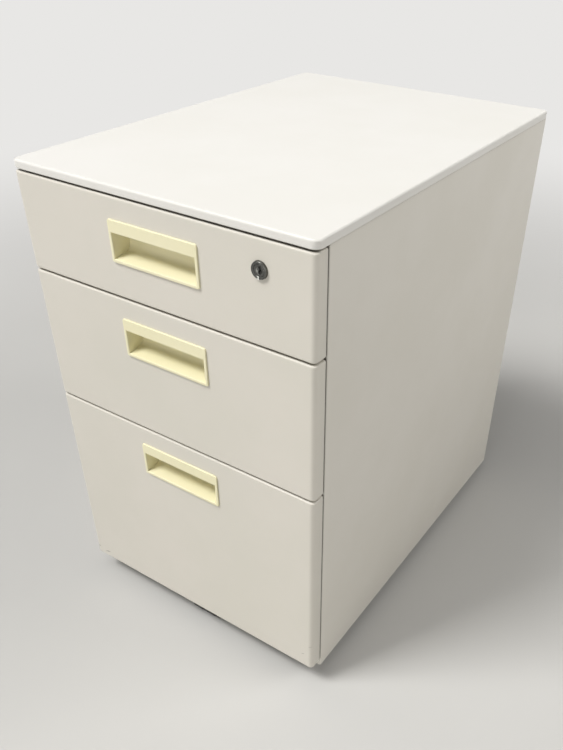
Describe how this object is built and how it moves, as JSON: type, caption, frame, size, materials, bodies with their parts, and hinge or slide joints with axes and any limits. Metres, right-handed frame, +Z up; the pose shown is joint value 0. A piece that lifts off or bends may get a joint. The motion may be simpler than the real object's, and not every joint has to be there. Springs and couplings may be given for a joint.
{
  "type": "mobile pedestal",
  "caption": "Steel mobile pedestal on castors, with shallow, medium and filing drawers, moulded scoop handles and a front lock.",
  "frame": {"origin": "on the floor, under the middle of the outline", "axes": "+X to the right of someone in front of it, +Y to the back, +Z up; the drawers open towards -Y"},
  "size_m": [0.395, 0.5624, 0.615],
  "materials": {
    "body_paint": "fine textured powder coat, satin",
    "box_paint": "smooth powder coat, satin",
    "handle_plastic": "moulded, semi gloss",
    "zinc_steel": "zinc plated",
    "lock_chrome": "dark nickel plate",
    "guide_nylon": "natural nylon",
    "buffer_rubber": "matt",
    "tray_plastic": "fine grained moulding",
    "castor_plastic": "moulded nylon",
    "wheel_plastic": "moulded nylon, worn tread"
  },
  "bodies": {
    "carcass": {"top_plate": "body_paint", "right_side_panel": "body_paint", "left_side_panel": "body_paint", "back_panel": "body_paint", "base_pan": "body_paint", "top_front_rail": "body_paint", "rear_posts": "body_paint", "lock_bar_guides": "guide_nylon", "drawer_buffers": "buffer_rubber", "castor_stems": "zinc_steel", "castor_nuts": "zinc_steel", "drawer_1_left_outer_slide": "zinc_steel", "drawer_1_right_outer_slide": "zinc_steel", "drawer_2_left_outer_slide": "zinc_steel", "drawer_2_right_outer_slide": "zinc_steel", "drawer_3_left_outer_slide": "zinc_steel", "drawer_3_right_outer_slide": "zinc_steel"},
    "drawer_1": {"drawer_1_front": "body_paint", "drawer_1_handle": "handle_plastic", "drawer_1_box": "box_paint", "drawer_1_left_inner_slide": "zinc_steel", "drawer_1_right_inner_slide": "zinc_steel", "pen_tray": "tray_plastic", "lock_barrel": "lock_chrome", "lock_nut": "zinc_steel"},
    "drawer_2": {"drawer_2_front": "body_paint", "drawer_2_handle": "handle_plastic", "drawer_2_box": "box_paint", "drawer_2_left_inner_slide": "zinc_steel", "drawer_2_right_inner_slide": "zinc_steel", "drawer_2_catch": "box_paint"},
    "drawer_3": {"drawer_3_front": "body_paint", "drawer_3_handle": "handle_plastic", "drawer_3_box": "box_paint", "drawer_3_left_inner_slide": "zinc_steel", "drawer_3_right_inner_slide": "zinc_steel", "drawer_3_catch": "box_paint", "fifth_castor_bracket": "zinc_steel", "fifth_castor_body": "castor_plastic"},
    "drawer_3_left_middle": {"drawer_3_left_middle_slide": "zinc_steel"},
    "drawer_3_right_middle": {"drawer_3_right_middle_slide": "zinc_steel"},
    "lock_plug": {"lock_plug": "lock_chrome", "lock_cam": "zinc_steel", "cam_screw": "zinc_steel"},
    "lock_bar": {"lock_bar": "zinc_steel", "lock_bar_tabs": "zinc_steel"},
    "fifth_castor_left_wheel": {"fifth_castor_left_wheel": "wheel_plastic"},
    "fifth_castor_right_wheel": {"fifth_castor_right_wheel": "wheel_plastic"},
    "front_left_castor": {"front_left_castor_body": "castor_plastic"},
    "front_left_castor_left_wheel": {"front_left_castor_left_wheel": "wheel_plastic"},
    "front_left_castor_right_wheel": {"front_left_castor_right_wheel": "wheel_plastic"},
    "front_right_castor": {"front_right_castor_body": "castor_plastic"},
    "front_right_castor_left_wheel": {"front_right_castor_left_wheel": "wheel_plastic"},
    "front_right_castor_right_wheel": {"front_right_castor_right_wheel": "wheel_plastic"},
    "rear_left_castor": {"rear_left_castor_body": "castor_plastic"},
    "rear_left_castor_left_wheel": {"rear_left_castor_left_wheel": "wheel_plastic"},
    "rear_left_castor_right_wheel": {"rear_left_castor_right_wheel": "wheel_plastic"},
    "rear_right_castor": {"rear_right_castor_body": "castor_plastic"},
    "rear_right_castor_left_wheel": {"rear_right_castor_left_wheel": "wheel_plastic"},
    "rear_right_castor_right_wheel": {"rear_right_castor_right_wheel": "wheel_plastic"}
  },
  "joints": [
    {"name": "drawer_1_slide", "type": "slide", "parent": "carcass", "child": "drawer_1", "axis": [0, -1, 0], "range_m": [0, 0.38]},
    {"name": "drawer_2_slide", "type": "slide", "parent": "carcass", "child": "drawer_2", "axis": [0, -1, 0], "range_m": [0, 0.38]},
    {"name": "drawer_3_slide", "type": "slide", "parent": "carcass", "child": "drawer_3", "axis": [0, -1, 0], "range_m": [0, 0.5]},
    {"name": "drawer_3_left_middle_slide", "type": "slide", "parent": "carcass", "child": "drawer_3_left_middle", "axis": [0, -1, 0], "range_m": [0, 0.25]},
    {"name": "drawer_3_right_middle_slide", "type": "slide", "parent": "carcass", "child": "drawer_3_right_middle", "axis": [0, -1, 0], "range_m": [0, 0.25]},
    {"name": "lock_turn", "type": "hinge", "parent": "drawer_1", "child": "lock_plug", "pos_m": [0.134, -0.27875, 0.573], "axis": [0, 1, 0], "range_deg": [0, 90]},
    {"name": "lock_bar_lift", "type": "slide", "parent": "carcass", "child": "lock_bar", "axis": [0, 0, 1], "range_m": [0, 0.012]},
    {"name": "fifth_castor_left_roll", "type": "hinge", "parent": "drawer_3", "child": "fifth_castor_left_wheel", "pos_m": [-0.011, -0.25275, 0.015], "axis": [1, 0, 0], "continuous": true},
    {"name": "fifth_castor_right_roll", "type": "hinge", "parent": "drawer_3", "child": "fifth_castor_right_wheel", "pos_m": [0.011, -0.25275, 0.015], "axis": [1, 0, 0], "continuous": true},
    {"name": "front_left_castor_swivel", "type": "hinge", "parent": "carcass", "child": "front_left_castor", "pos_m": [-0.134, -0.21075, 0.053], "axis": [0, 0, 1], "continuous": true},
    {"name": "front_left_castor_left_roll", "type": "hinge", "parent": "front_left_castor", "child": "front_left_castor_left_wheel", "pos_m": [-0.1445, -0.19275, 0.02], "axis": [1, 0, 0], "continuous": true},
    {"name": "front_left_castor_right_roll", "type": "hinge", "parent": "front_left_castor", "child": "front_left_castor_right_wheel", "pos_m": [-0.1235, -0.19275, 0.02], "axis": [1, 0, 0], "continuous": true},
    {"name": "front_right_castor_swivel", "type": "hinge", "parent": "carcass", "child": "front_right_castor", "pos_m": [0.134, -0.21075, 0.053], "axis": [0, 0, 1], "continuous": true},
    {"name": "front_right_castor_left_roll", "type": "hinge", "parent": "front_right_castor", "child": "front_right_castor_left_wheel", "pos_m": [0.1235, -0.19275, 0.02], "axis": [1, 0, 0], "continuous": true},
    {"name": "front_right_castor_right_roll", "type": "hinge", "parent": "front_right_castor", "child": "front_right_castor_right_wheel", "pos_m": [0.1445, -0.19275, 0.02], "axis": [1, 0, 0], "continuous": true},
    {"name": "rear_left_castor_swivel", "type": "hinge", "parent": "carcass", "child": "rear_left_castor", "pos_m": [-0.134, 0.21325, 0.053], "axis": [0, 0, 1], "continuous": true},
    {"name": "rear_left_castor_left_roll", "type": "hinge", "parent": "rear_left_castor", "child": "rear_left_castor_left_wheel", "pos_m": [-0.1445, 0.23125, 0.02], "axis": [1, 0, 0], "continuous": true},
    {"name": "rear_left_castor_right_roll", "type": "hinge", "parent": "rear_left_castor", "child": "rear_left_castor_right_wheel", "pos_m": [-0.1235, 0.23125, 0.02], "axis": [1, 0, 0], "continuous": true},
    {"name": "rear_right_castor_swivel", "type": "hinge", "parent": "carcass", "child": "rear_right_castor", "pos_m": [0.134, 0.21325, 0.053], "axis": [0, 0, 1], "continuous": true},
    {"name": "rear_right_castor_left_roll", "type": "hinge", "parent": "rear_right_castor", "child": "rear_right_castor_left_wheel", "pos_m": [0.1235, 0.23125, 0.02], "axis": [1, 0, 0], "continuous": true},
    {"name": "rear_right_castor_right_roll", "type": "hinge", "parent": "rear_right_castor", "child": "rear_right_castor_right_wheel", "pos_m": [0.1445, 0.23125, 0.02], "axis": [1, 0, 0], "continuous": true}
  ],
  "couplings": [
    {"joint": "drawer_3_left_middle_slide", "follows": "drawer_3_slide", "ratio": 0.5},
    {"joint": "drawer_3_right_middle_slide", "follows": "drawer_3_slide", "ratio": 0.5},
    {"joint": "lock_turn", "follows": "lock_bar_lift", "rad_per_m": 130.9}
  ]
}
